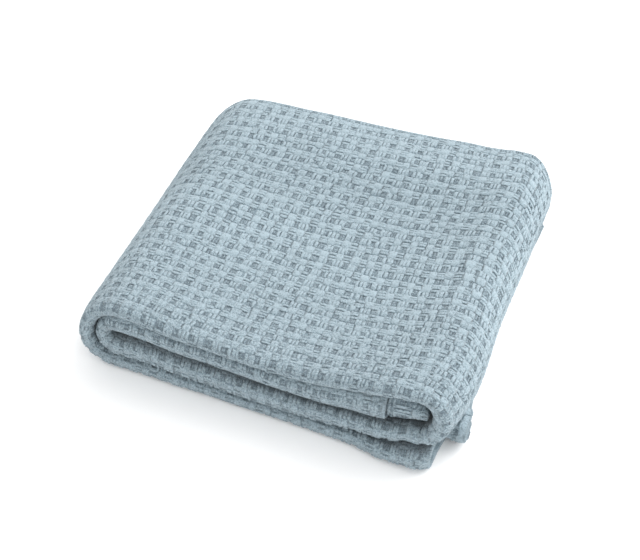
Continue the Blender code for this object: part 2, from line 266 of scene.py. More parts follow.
# How far the ground lies under the cloth's face, and the strands where none show, in
# millimetres, and how uneven the strands are.
GROUND_SINK = 0.7
YARN_SUNK = -1.0
YARN_SEED = 5
BUNDLE_JITTER = 0.03
END_JITTER = 0.03
SIDE_JITTER = 0.02
SWAY = 0.03
LIFT_JITTER = 0.08
WIDTH_JITTER = 0.1
TONE_JITTER = 0.06

# The hem: how far from the edge, in lines, each ring of a strand wound round it lies, and its
# dive, lift, half width and half height in millimetres.
HEM_INSETS = (1.6, 0.5, 0.0, 0.5, 1.6)
HEM_DIVE = (-0.8, -0.1, 0.0, -0.1, -0.8)
HEM_LIFT = 0.15
HEM_HALF_WIDTH = 0.7
HEM_HALF_HEIGHT = 0.4
HEM_LIGHT = 0.95
HEM_JITTER = 0.08

# Cotton yarn: sizes of its pattern are in repeats of the weave.
STRANDS_PER_BLOCK = 3
STRAND_ROUNDNESS = 0.6
FUZZ_SIZE = 0.08
FUZZ_SHARE = 0.5
# Lightness of the threads in the hollows, and the size and strength of its unevenness: painted shade
# in the hollows.
HOLLOW_THREADS = 0.35
HOLLOW_SIZE = 0.9
HOLLOW_TONE = 0.8

# Factor and offset of the height of each block of the weave, and of its hump; where no strands are
# laid the height is also painted into the colour as shade.
ACROSS_HEIGHT = (0.5, 0.5)
ALONG_HEIGHT = (0.45, 0.4)
SQUARE_HEIGHT = (0.3, 0.6)
HUMP_HEIGHT = (0.45, 0.55)

# Twist, fibres and clumps of the strands, patches of the cloth, and the cotton's surface; the
# twist's tone is painted shade in its grooves.
TWISTS_PER_REPEAT = 9.0
TWIST_PAINTED_SHADE = 0.16
FIBRE_SIZE = 0.07
FIBRE_TONE = 2.2
FIBRE_HEIGHT = 0.8
CLUMP_SIZE = 0.13
CLUMP_TONE = 2.4
PATCH_SIZE = 3.0
PATCH_STRENGTH = 0.12
YARN_ROUGHNESS = 0.95
YARN_SPECULAR = 0.15
YARN_SHEEN = 0.25
YARN_SHEEN_ROUGHNESS = 0.5

# The studio: lamps as name, place, size in metres and power in watts.
CAMERA_TARGET = (0.0008, -0.0059, 0.02)
STUDIO_LIGHTS = (
    ("key_lamp", (0.95, 1.25, 1.35), 2.0, 41.0),
    ("side_lamp", (1.4, -0.3, 0.5), 0.8, 3.0),
)
FLOOR_GRAIN_SIZE = 0.02
FLOOR_GRAIN_TONE = 0.985
FLOOR_ROUGHNESS = 0.9
FLOOR_SPECULAR = 0.1
SENSOR_WIDTH = 36.0


def ease(value):
    """Smooth step from 0 to 1."""
    value = min(1.0, max(0.0, value))
    return value * value * (3.0 - 2.0 * value)


def mix(first, second, share):
    """Value between first and second."""
    return first + (second - first) * share


def curve_between(first, last, rise, fall, t):
    """Value at share t of the smooth curve between two, with its rise at each of them."""
    return (
        first * (1 + 2 * t) * (1 - t) ** 2
        + last * t * t * (3 - 2 * t)
        + rise * t * (1 - t) ** 2
        - fall * t * t * (1 - t)
    )


def slope_at(stations, values, i):
    """Slope of the smooth curve through the stations at station i."""
    before = max(i - 1, 0)
    after = min(i + 1, len(stations) - 1)
    return (values[after] - values[before]) / (stations[after] - stations[before])


def along(place, stations, values):
    """Value of the smooth curve through the stations, held level past both ends."""
    if place <= stations[0]:
        return values[0]
    for i in range(len(stations) - 1):
        start, end = stations[i], stations[i + 1]
        if place <= end:
            length = end - start
            t = (place - start) / length
            rise = slope_at(stations, values, i) * length
            fall = slope_at(stations, values, i + 1) * length
            return curve_between(values[i], values[i + 1], rise, fall, t)
    return values[-1]


def upper_face(strip, x, y):
    """Height of the upper face of one length of strip."""
    number = STRIP_ORDER.index(strip)
    rows = HEIGHT_ROWS
    i = sum(1 for row in rows[1:-1] if y > row[0])
    (start, low), (end, high) = rows[i], rows[i + 1]
    share = min(1.0, max(0.0, (y - start) / (end - start)))
    return mix(along(x, HEIGHT_X, low[number]), along(x, HEIGHT_X, high[number]), share)


def ply_height(strip, x, y, ply):
    """Height of the middle of one ply of a length of strip."""
    number = STRIP_ORDER.index(strip)
    low = 0.0
    if number > 0:
        low = upper_face(STRIP_ORDER[number - 1], x, y) + STRIP_GAP
    if strip == "third":
        low += INNER_TURN_GAP * (1.0 - ease((x - HEIGHT_X[0]) / INNER_TURN_GAP_FADE))
    high = upper_face(strip, x, y)
    spread = ply * (high - low - CLOTH_THICKNESS)
    if strip in OUTER_SIDE_DOWN:
        return low + CLOTH_THICKNESS / 2 + spread
    return high - CLOTH_THICKNESS / 2 - spread


def turn_place(turn, y):
    """Where a turn starts in X at the floor, and how far its outer side bulges past that."""
    if turn == "right":
        return along(y, SIDE_Y, RIGHT_EDGE_X) - RIGHT_BULGE, RIGHT_BULGE
    start = along(y, SIDE_Y, LEFT_EDGE_X) + LEFT_TURN_INSET
    if turn == "left":
        return start, LEFT_BULGE
    return start, LEFT_BULGE - BEND_THICKNESS["left"] - TURN_CLEARANCE


def turn_end(turn, strip, y, ply):
    """Point where one ply of a strip runs into a turn, which leans over with its height."""
    start = turn_place(turn, y)[0]
    x = start
    for _ in range(LEAN_TRIES):
        x = start + TURN_LEAN[turn] * ply_height(strip, x, y, ply)
    return x, ply_height(strip, x, y, ply)


def turn_point(turn, share, y, ply):
    """Point of one ply on a turn, share 0 to 1 of the half circle in the strip's direction."""
    first, second = TURN_JOINS[turn]
    side = 1.0 if turn == "right" else -1.0
    bulge = turn_place(turn, y)[1]
    reach = bulge - CLOTH_THICKNESS / 2 - ply * (BEND_THICKNESS[turn] - CLOTH_THICKNESS)
    angle = math.pi * share
    passed = (1.0 - math.cos(angle)) / 2
    start_x, start_z = turn_end(turn, first, y, ply)
    end_x, end_z = turn_end(turn, second, y, ply)
    return mix(start_x, end_x, passed) + side * reach * math.sin(angle), mix(start_z, end_z, passed)


def lowest_end(y, inner_share):
    """Right-hand end of the lowest length, rounded off at the front of each fold."""
    outer_round = ease((FRONT_Y["lowest"][-1] + OUTER_END_ROUND - y) / OUTER_END_ROUND)
    inner_round = ease((LOWEST_INNER_FRONT + INNER_END_ROUND - y) / INNER_END_ROUND)
    outer_end = LOWEST_END_OUTER - OUTER_END_IN * outer_round
    inner_end = along(y, SIDE_Y, LOWEST_END_X) - INNER_END_IN * inner_round
    return mix(outer_end, inner_end, inner_share)


def strip_x(strip, station, y, ply, inner_share):
    """X of one of the lines across a length of strip, counted in the strip's direction."""
    left = turn_end("left" if strip in TURN_JOINS["left"] else "inner", strip, y, ply)[0]
    if strip == "lowest":
        ends = (lowest_end(y, inner_share),) * 2
    elif strip == "third":
        ends = THIRD_END_OUTER, THIRD_END_INNER
    else:
        ends = (turn_place("right", y)[0],) * 2
    number = -1 - station if strip in OUTER_SIDE_DOWN else station
    outer_x, inner_x = [
        ((left,) + STRIP_X + right_x + (end,))[number]
        for right_x, end in zip(STRIP_RIGHT_X[strip], ends)
    ]
    return mix(outer_x, inner_x, inner_share)


def strip_point(strip, station, y, ply, inner_share):
    """X and height of one ply on a length of strip."""
    x = strip_x(strip, station, y, ply, inner_share)
    if inner_share > 0.0:
        ply = swollen_ply(strip, x, y, ply)
    return x, ply_height(strip, x, y, ply)


def swollen_ply(strip, x, y, ply):
    """Inner two plies at a free end, which swell past the outer ones and close to a tip."""
    if strip not in SWELL_X:
        return ply
    start, full, closing, end = SWELL_X[strip]
    low, high = SWOLLEN_PLIES[strip]
    tip_low, tip_high = TIP_PLIES[strip]
    nested = (ply - SECOND_PLY) / (THIRD_PLY - SECOND_PLY)
    swell = ease((x - start) / (full - start))
    taper = ease((x - closing) / (end - closing))
    shaped = mix(mix(ply, mix(low, high, nested), swell), mix(tip_low, tip_high, nested), taper)
    fade = ease((y - SWELL_BACK_Y[0]) / (SWELL_BACK_Y[1] - SWELL_BACK_Y[0]))
    if x <= start:
        return ply
    return mix(shaped, ply, fade)


def strip_stations():
    """Every line across the strip, in order from its free end underneath to its hidden end."""
    stations = [("lowest", 0)]
    for run in ("lowest", "left", "top", "right", "second", "inner", "third"):
        if run in TURN_STEPS:
            steps = TURN_STEPS[run]
        else:
            steps = len(STRIP_X) + len(STRIP_RIGHT_X[run][0]) + 1
        stations += [(run, i + 1) for i in range(steps)]
    return stations


def section_point(station, y, ply, inner_share):
    """X and height of one ply at a station, on a length of strip or on a turn."""
    run, number = station
    if run in TURN_STEPS:
        return turn_point(run, number / TURN_STEPS[run], y, ply)
    return strip_point(run, number, y, ply, inner_share)


def front_of(station, x):
    """Front edge of the strip at a station, carried smoothly round the turns."""
    run, number = station
    ripple = EDGE_RIPPLE * math.sin(2 * math.pi * x / EDGE_RIPPLE_LENGTH)
    if run in TURN_JOINS:
        first, second = (along(x, FRONT_X, FRONT_Y[name]) for name in TURN_JOINS[run])
        return mix(first, second, ease(number / TURN_STEPS[run])) + ripple
    return along(x, FRONT_X, FRONT_Y[run]) + ripple


def back_of(station, x, ply_name):
    """Back edge of one ply, drawn in where the strip turns at the sides."""
    run, number = station
    drawn = 0.0
    if run in ("left", "right"):
        drawn = BACK_DRAW_IN[ply_name] * math.sin(math.pi * number / TURN_STEPS[run]) ** 2
    step = BACK_STEPS[ply_name]
    ripple = EDGE_RIPPLE * math.sin(2 * math.pi * x / EDGE_RIPPLE_LENGTH + step)
    return BACK_Y + BACK_SLANT * x - drawn + step + ripple


def fold_reach(station, y, first_ply, last_ply, inner_share):
    """How far a fold bulges out past its plies: a share of half its height."""
    first = section_point(station, y, first_ply, inner_share)
    last = section_point(station, y, last_ply, inner_share)
    return min(FRONT_FOLD_MOST, math.dist(first, last) / 2 * FRONT_FOLD_SHARE)


def inner_front(station, x, front):
    """Where the inner two plies fold at the front, which is further back than the outer fold."""
    nested = front + INNER_FOLD_SETBACK
    if station[0] == "lowest":
        set_back = ease((x - LOWEST_INNER_FROM) / (LOWEST_END_OUTER - LOWEST_INNER_FROM))
        return mix(nested, LOWEST_INNER_FRONT, set_back)
    if station[0] == "third":
        start, full = SWELL_X["third"][:2]
        return mix(nested, THIRD_INNER_FRONT, ease((x - start) / (full - start)))
    return nested


def ply_row(station):
    """Points across the cloth at one station, from the outer ply's back edge to the second's."""
    half = CLOTH_THICKNESS / 2
    x_outer = section_point(station, 0.0, OUTER_PLY, 0.0)[0]
    x_inner = section_point(station, 0.0, SECOND_PLY, 1.0)[0]
    front = front_of(station, x_outer) + half
    reach = fold_reach(station, front, OUTER_PLY, INNER_PLY, 0.0)
    fold_y = front + reach
    nested_front = inner_front(station, x_inner, fold_y) + half
    nested_reach = fold_reach(station, nested_front, SECOND_PLY, THIRD_PLY, 1.0)
    nested_y = nested_front + nested_reach
    outer_back = back_of(station, x_outer, "outer")
    fold_back = back_of(station, x_outer, "fold")
    back_reach = fold_reach(station, fold_back, INNER_PLY, THIRD_PLY, 0.0)
    second_back = back_of(station, x_inner, "second")

    row = []

    def add(y, ply, inner_share, bulge=0.0):
        x, z = section_point(station, y, ply, inner_share)
        row.append((x, y + bulge, z))

    def add_ply(start, end, ply, inner_share):
        lines = (start,) + PLY_Y + (end,) if start < end else (start,) + PLY_Y[::-1] + (end,)
        for y in lines:
            add(y, ply, inner_share)

    def add_fold(y, steps, start_ply, end_ply, start_inner, end_inner, bulge):
        for i in range(1, steps):
            angle = math.pi * i / steps
            share = (1 - math.cos(angle)) / 2
            ply = mix(start_ply, end_ply, share)
            add(y, ply, mix(start_inner, end_inner, share), bulge * math.sin(angle))

    add_ply(outer_back, fold_y, OUTER_PLY, 0.0)
    add_fold(fold_y, FOLD_STEPS["front"], OUTER_PLY, INNER_PLY, 0.0, 0.0, -reach)
    add_ply(fold_y, fold_back, INNER_PLY, 0.0)
    add_fold(fold_back, FOLD_STEPS["back"], INNER_PLY, THIRD_PLY, 0.0, 1.0, back_reach)
    add_ply(fold_back, nested_y, THIRD_PLY, 1.0)
    add_fold(nested_y, FOLD_STEPS["nested"], THIRD_PLY, SECOND_PLY, 1.0, 1.0, -nested_reach)
    add_ply(nested_y, second_back, SECOND_PLY, 1.0)
    return row


def smooth_slopes(points, knots):
    """Slopes of the smooth curve through points, held back where they would overshoot."""
    spans = np.diff(knots).reshape((-1,) + (1,) * (points.ndim - 1))
    ahead = np.diff(points, axis=0) / spans
    slopes = np.empty_like(points)
    slopes[1:-1] = (ahead[:-1] * spans[1:] + ahead[1:] * spans[:-1]) / (spans[:-1] + spans[1:])
    slopes[0], slopes[-1] = ahead[0], ahead[-1]
    gentler = np.minimum(np.abs(ahead[:-1]), np.abs(ahead[1:]))
    most = gentler * np.where(ahead[:-1] * ahead[1:] > 0.0, STEEPEST, 1.0)
    slopes[1:-1] = np.clip(slopes[1:-1], -most, most)
    return slopes


def smooth_curve(points, knots, places):
    """Points at the places along the smooth curve through points, which lie at the knots."""
    slopes = smooth_slopes(points, knots)
    i = np.clip(np.searchsorted(knots, places, side="right") - 1, 0, len(knots) - 2)
    length = (knots[i + 1] - knots[i]).reshape((-1,) + (1,) * (points.ndim - 1))
    t = (places - knots[i]).reshape(length.shape) / length
    rise, fall = slopes[i] * length, slopes[i + 1] * length
    return curve_between(points[i], points[i + 1], rise, fall, t)


def travelled(points):
    """Distance travelled along the first axis, from 0."""
    steps = np.linalg.norm(np.diff(points, axis=0), axis=-1)
    return np.concatenate([np.zeros((1,) + steps.shape[1:]), np.cumsum(steps, axis=0)])


def fold_columns():
    """Columns of a row of points where the cloth's folds and edges lie, in order."""
    ply = len(PLY_Y) + 2
    front = ply - 1 + FOLD_STEPS["front"] / 2
    back = front + FOLD_STEPS["front"] / 2 + ply - 1 + FOLD_STEPS["back"] / 2
    nested = back + FOLD_STEPS["back"] / 2 + ply - 1 + FOLD_STEPS["nested"] / 2
    last = nested + FOLD_STEPS["nested"] / 2 + ply - 1
    return (0.0, front, back, nested, last)


def cloth_grid():
    """Middle of the cloth on weave lines: an array of points along the strip and across it.

    Also gives where the strip's runs begin, counted in weave lines.
    """
    stations = strip_stations()
    rough = np.array([ply_row(station) for station in stations])
    low, high = rough.min(axis=(0, 1)), rough.max(axis=(0, 1))
    rough -= ((low[0] + high[0]) / 2, (low[1] - CLOTH_THICKNESS / 2 + high[1]) / 2, 0.0)
    along_strip = travelled(rough[:, MIDDLE_Y_LINE])
    repeats = round(along_strip[-1] / REPEAT_MM)
    lines = np.linspace(0.0, along_strip[-1], repeats * CELL_LINES + 1)
    rows = smooth_curve(rough, along_strip, lines)

    across = travelled(rows.mean(axis=0))
    columns = np.arange(len(across))
    dense_columns = np.linspace(0.0, columns[-1], DENSE_STEPS * columns[-1] + 1)
    dense = smooth_curve(
        rows.transpose(1, 0, 2), across, np.interp(dense_columns, columns, across)
    )
    run = travelled(dense)
    folds = [int(round(column * DENSE_STEPS)) for column in fold_columns()]
    counts = (REPEATS_OUTER_PLY,) + REPEATS_INNER_PLIES
    points = []
    for k in range(dense.shape[1]):
        places = [run[0, k]]
        for start, end, count in zip(folds[:-1], folds[1:], counts):
            spread = np.linspace(run[start, k], run[end, k], count * CELL_LINES + 1)
            places.extend(spread[1:])
        points.append(
            np.column_stack([np.interp(places, run[:, k], dense[:, k, n]) for n in range(3)])
        )
    lines_per_mm = (len(lines) - 1) / along_strip[-1]
    starts = {}
    for number, (name, _) in enumerate(stations):
        starts.setdefault(name, along_strip[max(number - 1, 0)] * lines_per_mm)
    return np.array(points), starts


def unit(ways):
    """Directions brought to length 1."""
    return ways / np.linalg.norm(ways, axis=-1, keepdims=True)


def outward(points):
    """Unit normals of the grid, on the side that is outside on the outer ply."""
    along_strip = np.gradient(points, axis=0)
    across = np.gradient(points, axis=1)
    return unit(np.cross(across, along_strip))


def ease_array(value):
    """Smooth step from 0 to 1, for a whole array."""
    value = np.clip(value, 0.0, 1.0)
    return value * value * (3.0 - 2.0 * value)


def inside_share(place, first, last, fade=1.0):
    """Smooth share that is 1 well inside the first and last place and 0 outside them."""
    return ease_array((place - first) / fade) * ease_array((last - place) / fade)


def share_between(value, start, end):
    """Smooth step from 0 at the start to 1 at the end."""
    return ease_array((value - start) / (end - start))


def weave_drift(u, v):
    """How far the weave has drifted at places given in repeats, as in a cloth often washed."""
    start_u, start_v = GRAIN_WAVE_STARTS
    wave_u, wave_v = u / GRAIN_WAVE_ALONG, v / GRAIN_WAVE_ACROSS
    drift_u = GRAIN_DRIFT * np.sin(wave_v + start_u) * np.cos(wave_u)
    drift_v = GRAIN_DRIFT * np.sin(wave_u + start_v) * np.cos(wave_v)
    bow = mix(*GRAIN_BOW, share_between(v, *GRAIN_BOW_ROWS))
    lean = mix(*GRAIN_LEAN, share_between(v, *GRAIN_LEAN_ROWS))
    return drift_u + bow, drift_v + lean


def grid_place(u, v):
    """Lines of the grid on which the weave has a place that is given in repeats."""
    grid_u, grid_v = u, v
    for _ in range(PLACE_TRIES):
        drift_u, drift_v = weave_drift(grid_u, grid_v)
        grid_u, grid_v = u - drift_u, v - drift_v
    return grid_u * CELL_LINES, grid_v * CELL_LINES


def weave_places(lines_along, lines_across):
    """Place of every grid point in the weave, in repeats."""
    u, v = np.meshgrid(
        np.arange(lines_along) / CELL_LINES, np.arange(lines_across) / CELL_LINES, indexing="ij"
    )
    drift_u, drift_v = weave_drift(u, v)
    return u + drift_u, v + drift_v


def weave_height(u, v):
    """Depth of the ground cloth under the floats: -1 in the middle of a hollow, else 0."""
    in_hollow = (np.floor(2 * u) % 2 == 1) & (np.floor(2 * v) % 2 == 0)
    hump = np.abs(np.sin(2 * np.pi * u) * np.sin(2 * np.pi * v)) ** HOLLOW_ROUNDNESS
    return np.where(in_hollow, -hump, 0.0)


def zone_of(starts, name_from, name_to):
    """First and last cell along the strip between the starts of two runs."""
    return int(starts[name_from] // CELL_LINES), int(math.ceil(starts[name_to] / CELL_LINES))


def cell_levels(cells_along, cells_across, starts):
    """Into how many parts each cell is split, along and across, on the outer and inner side."""
    outer, inner = np.ones((2, cells_along, cells_across, 2), dtype=int)
    fold, back, nested = [slice(row - 1, row + 1) for row in (FOLD_ROW, BACK_ROW, NESTED_ROW)]
    ends = slice(0, FREE_END_CELLS), slice(cells_along - HIDDEN_END_CELLS, cells_along)
    for levels in (outer, inner):
        for name_from, name_to, parts in TURN_PARTS:
            levels[slice(*zone_of(starts, name_from, name_to)), :, 0] = parts
        for end in ends:
            levels[end, FOLD_ROW:, 0] = FINE_PARTS
    outer[:, back, 1] = inner[:, nested, 1] = CELL_LINES
    inner[:, back, 1] = outer[:, nested, 1] = inner[:, fold, 1] = FINE_PARTS
    outer[:, FOLD_ROW - FOLD_REPEATS_OUTSIDE:FOLD_ROW + FOLD_REPEATS_INSIDE] = FINE_PARTS
    outer[:, fold, 1] = CELL_LINES
    outer[slice(*zone_of(starts, "left", "second")), :FOLD_ROW - 1] = FINE_PARTS
    for end in ends:
        inner[end, NESTED_ROW - NESTED_REPEATS:NESTED_ROW + NESTED_REPEATS] = FINE_PARTS
    return outer, inner


def relief_share(lines_along, lines_across, starts):
    """Share of the floats' height at each grid point, on the outer and on the inner side.

    It is whole where that side of the cloth shows and nothing elsewhere.
    """
    k = np.arange(lines_along)[:, None] / CELL_LINES
    m = np.arange(lines_across)[None, :] / CELL_LINES
    shown = inside_share(k, *zone_of(starts, "left", "second"))
    near_fold = ease_array(m - FOLD_ROW + FOLD_REPEATS_OUTSIDE)
    outer = np.maximum(shown, near_fold) * ease_array(FOLD_ROW + FOLD_REPEATS_INSIDE - m)
    outer += inside_share(m, BACK_ROW - BACK_FOLD_REPEATS, BACK_ROW + BACK_FOLD_REPEATS)
    hidden_end = (lines_along - 1) / CELL_LINES - HIDDEN_END_CELLS
    at_end = np.maximum(ease_array(FREE_END_CELLS - k), ease_array(k - hidden_end))
    inner = at_end * inside_share(m, NESTED_ROW - NESTED_REPEATS, NESTED_ROW + NESTED_REPEATS)
    return outer, inner


def painted_gap_shade(k, m, starts):
    """How open a place on the outer side lies: 1 in the open, 0 far in between two layers, which the
    colour shows as painted shade.
    """
    row = m / CELL_LINES
    under = inside_share(row, *PAINTED_SHADE_GAP_ROWS[1:], PAINTED_SHADE_GAP_FADE)
    over = inside_share(row, PAINTED_SHADE_GAP_FADE, PAINTED_SHADE_GAP_ROWS[0], PAINTED_SHADE_GAP_FADE)
    inside = ease_array((starts["left"] - k) / CELL_LINES)
    inside = np.maximum(inside, ease_array((k - starts["second"]) / CELL_LINES))
    return 1.0 - np.maximum(under, over * inside)


class ClothMesh:
    """Collects the faces of the cloth's two sides and its edges into one closed mesh."""

    def __init__(self, middle, normals, relief, weave, covered, tone):
        self.middle = middle
        self.last_k, self.last_m = middle.shape[0] - 1, middle.shape[1] - 1
        self.covered = covered
        self.tone = tone
        self.normals = normals
        self.relief = relief
        self.weave = weave
        self.points = []
        self.places = []
        self.shades = []
        self.painted_gap_shades = []
        self.faces = []
        self.numbers = {}

    def vertex(self, side, k, m):
        """Number of the point of one side at a place on the grid, made when it is first asked."""
        key = (side, k, m)
        if key not in self.numbers:
            if side == "edge":
                way = self.edge_way(k, m) * CLOTH_THICKNESS / 2
            else:
                lift = CLOTH_THICKNESS / 2 + self.relief[side == "inner"][k, m]
                way = self.normals[k, m] * (lift if side == "outer" else -lift)
            point = self.middle[k, m] + way
            self.numbers[key] = len(self.points)
            self.points.append((point[0], point[1], max(point[2], 0.0)))
            self.places.append((self.weave[0][k, m], self.weave[1][k, m]))
            self.shades.append(1.0 - self.covered[side == "inner"][k, m])
            # Painted shade far in between two layers, on the outer side only.
            self.painted_gap_shades.append(self.tone[k, m] if side == "outer" else 1.0)
        return self.numbers[key]

    def edge_way(self, k, m):
        """Direction out of the cloth at a point on its edge."""
        way = np.zeros(3)
        if k in (0, self.last_k):
            way += unit(self.middle[k, m] - self.middle[1 if k == 0 else k - 1, m])
        if m in (0, self.last_m):
            way += unit(self.middle[k, m] - self.middle[k, 1 if m == 0 else m - 1])
        return unit(way)

    def add_face(self, side, corners):
        if side == "inner":
            corners = corners[::-1]
        self.faces.append(tuple(corners))

    def add_side(self, side, levels):
        """All cells of one side, with fans where a cell meets a finer neighbour."""
        cells_along, cells_across = levels.shape[:2]
        along_edges = np.ones((cells_along, cells_across + 1), dtype=int)
        along_edges[:, :-1] = levels[:, :, 0]
        along_edges[:, 1:] = np.maximum(along_edges[:, 1:], levels[:, :, 0])
        across_edges = np.ones((cells_along + 1, cells_across), dtype=int)
        across_edges[:-1] = levels[:, :, 1]
        across_edges[1:] = np.maximum(across_edges[1:], levels[:, :, 1])
        for i in range(cells_along):
            for j in range(cells_across):
                self.add_cell(side, i, j, levels[i, j], along_edges, across_edges)
        return along_edges, across_edges

    def add_cell(self, side, i, j, level, along_edges, across_edges):
        """Faces of one cell, which meet the points of finer neighbours along its border."""
        wide, deep = CELL_LINES // level[0], CELL_LINES // level[1]
        k_first, m_first = i * CELL_LINES, j * CELL_LINES
        k_last, m_last = k_first + CELL_LINES, m_first + CELL_LINES
        for k in range(k_first, k_last, wide):
            for m in range(m_first, m_last, deep):
                left = CELL_LINES // across_edges[i, j] if k == k_first else deep
                right = CELL_LINES // across_edges[i + 1, j] if k + wide == k_last else deep
                front = CELL_LINES // along_edges[i, j] if m == m_first else wide
                rear = CELL_LINES // along_edges[i, j + 1] if m + deep == m_last else wide
                ring = [(k, n) for n in range(m, m + deep, left)]
                ring += [(n, m + deep) for n in range(k, k + wide, rear)]
                ring += [(k + wide, n) for n in range(m + deep, m, -right)]
                ring += [(n, m) for n in range(k + wide, k, -front)]
                corners = [self.vertex(side, *place) for place in ring]
                if len(corners) == 4:
                    self.add_face(side, corners)
                    continue
                centre = self.vertex(side, k + wide // 2, m + deep // 2)
                for a, b in zip(corners, corners[1:] + corners[:1]):
                    self.add_face(side, (centre, a, b))

    def border(self, along_edges, across_edges):
        """Places of one side's points round the cloth's border, in order."""

        def lines(edge):
            return [
                i * CELL_LINES + n
                for i, parts in enumerate(edge)
                for n in range(0, CELL_LINES, CELL_LINES // parts)
            ]

        ring = [(k, 0) for k in lines(along_edges[:, 0])]
        ring += [(self.last_k, m) for m in lines(across_edges[-1])]
        ring += [(self.last_k - k, self.last_m) for k in lines(along_edges[::-1, -1])]
        ring += [(0, self.last_m - m) for m in lines(across_edges[0, ::-1])]
        return ring

    def way_round(self, place):
        """How far round the border a place lies, counted in lines."""
        k, m = place
        if m == 0:
            return k
        if k == self.last_k:
            return self.last_k + m
        if m == self.last_m:
            return 2 * self.last_k + self.last_m - k
        return 2 * (self.last_k + self.last_m) - m

    def join(self, first_side, first, second_side, second):
        """Faces between two rings of points round the border, given in the same order."""
        i = j = 0
        whole = 2 * (self.last_k + self.last_m)
        first_ways = [self.way_round(place) for place in first] + [whole]
        second_ways = [self.way_round(place) for place in second] + [whole]
        a = [self.vertex(first_side, *place) for place in first]
        b = [self.vertex(second_side, *place) for place in second]
        while i < len(a) or j < len(b):
            a_now, b_now = a[i % len(a)], b[j % len(b)]
            a_next = first_ways[i + 1] if i < len(a) else math.inf
            b_next = second_ways[j + 1] if j < len(b) else math.inf
            if a_next == b_next:
                self.faces.append((a_now, a[(i + 1) % len(a)], b[(j + 1) % len(b)], b_now))
                i, j = i + 1, j + 1
            elif a_next < b_next:
                self.faces.append((a_now, a[(i + 1) % len(a)], b_now))
                i += 1
            else:
                self.faces.append((a_now, b[(j + 1) % len(b)], b_now))
                j += 1

    def add_edges(self, outer_edges, inner_edges):
        """Rounds off the cloth's border between its two sides."""
        outer, inner = self.border(*outer_edges), self.border(*inner_edges)
        middle = sorted(set(outer) | set(inner), key=self.way_round)
        self.join("outer", outer, "edge", middle)
        self.join("edge", middle, "inner", inner)


def mesh_object(name, points, faces, places, shades, material):
    """Mesh object from points in millimetres, with its place in the weave as UV map.

    The shade of a point is its painted shade, 0 down in a groove and 1 on top of a strand, and its
    depth is 0 far in between two layers and 1 in the open, where 0 is painted as shade.
    """
    mesh = bpy.data.meshes.new(name)
    mesh.from_pydata((np.array(points) * MM).tolist(), [], faces)
    mesh.update()
    corners = np.empty(len(mesh.loops), dtype=int)
    mesh.loops.foreach_get("vertex_index", corners)
    weave_map = mesh.uv_layers.new(name="weave")
    weave_map.data.foreach_set("uv", np.array(places)[corners].ravel())
    for kind, values in zip(("shade", "depth"), shades):
        attribute = mesh.attributes.new(kind, "FLOAT", "POINT")
        attribute.data.foreach_set("value", np.array(values, dtype=np.float32))
    mesh.materials.append(material)
    mesh.shade_smooth()
    made = bpy.data.objects.new(name, mesh)
    bpy.context.scene.collection.objects.link(made)
    return made


def build_cloth(settings, middle, starts):
    """Closed sheet of ground cloth on the blanket's folds, in the CAD solid's place."""
    lines_along, lines_across = middle.shape[:2]
    weave = weave_places(lines_along, lines_across)
    shares = relief_share(lines_along, lines_across, starts)
    depth = weave_height(*weave) * settings.hollow_depth / MM - GROUND_SINK
    relief = [depth * share for share in shares]
    lines = np.arange(lines_along)[:, None], np.arange(lines_across)[None, :]
    tone = painted_gap_shade(*lines, starts)
    cloth = ClothMesh(middle, outward(middle), relief, weave, shares, tone)
    cells = (lines_along - 1) // CELL_LINES, (lines_across - 1) // CELL_LINES
    outer_levels, inner_levels = cell_levels(*cells, starts)
    outer_edges = cloth.add_side("outer", outer_levels)
    inner_edges = cloth.add_side("inner", inner_levels)
    cloth.add_edges(outer_edges, inner_edges)
    material = weave_material(settings)
    shades = (cloth.shades, cloth.painted_gap_shades)
    return mesh_object("blanket_cloth", cloth.points, cloth.faces, cloth.places, shades, material)


def between(field, k, m):
    """Value of a grid of points or numbers at places between its lines."""
    i = np.clip(np.floor(k).astype(int), 0, field.shape[0] - 2)
    j = np.clip(np.floor(m).astype(int), 0, field.shape[1] - 2)
    a, b = np.clip(k - i, 0.0, 1.0), np.clip(m - j, 0.0, 1.0)
    if field.ndim == 3:
        a, b = a[..., None], b[..., None]
    low = field[i, j] * (1 - a) + field[i + 1, j] * a
    high = field[i, j + 1] * (1 - a) + field[i + 1, j + 1] * a
    return low * (1 - b) + high * b


def ring_points(centre, sideways, upwards, wide, high):
    """Points of every ring of every strand, from its centre and its own two directions."""
    across_ring = sideways[:, :, None] * wide[..., None]
    return centre[:, :, None] + across_ring + upwards[:, :, None] * high[..., None]


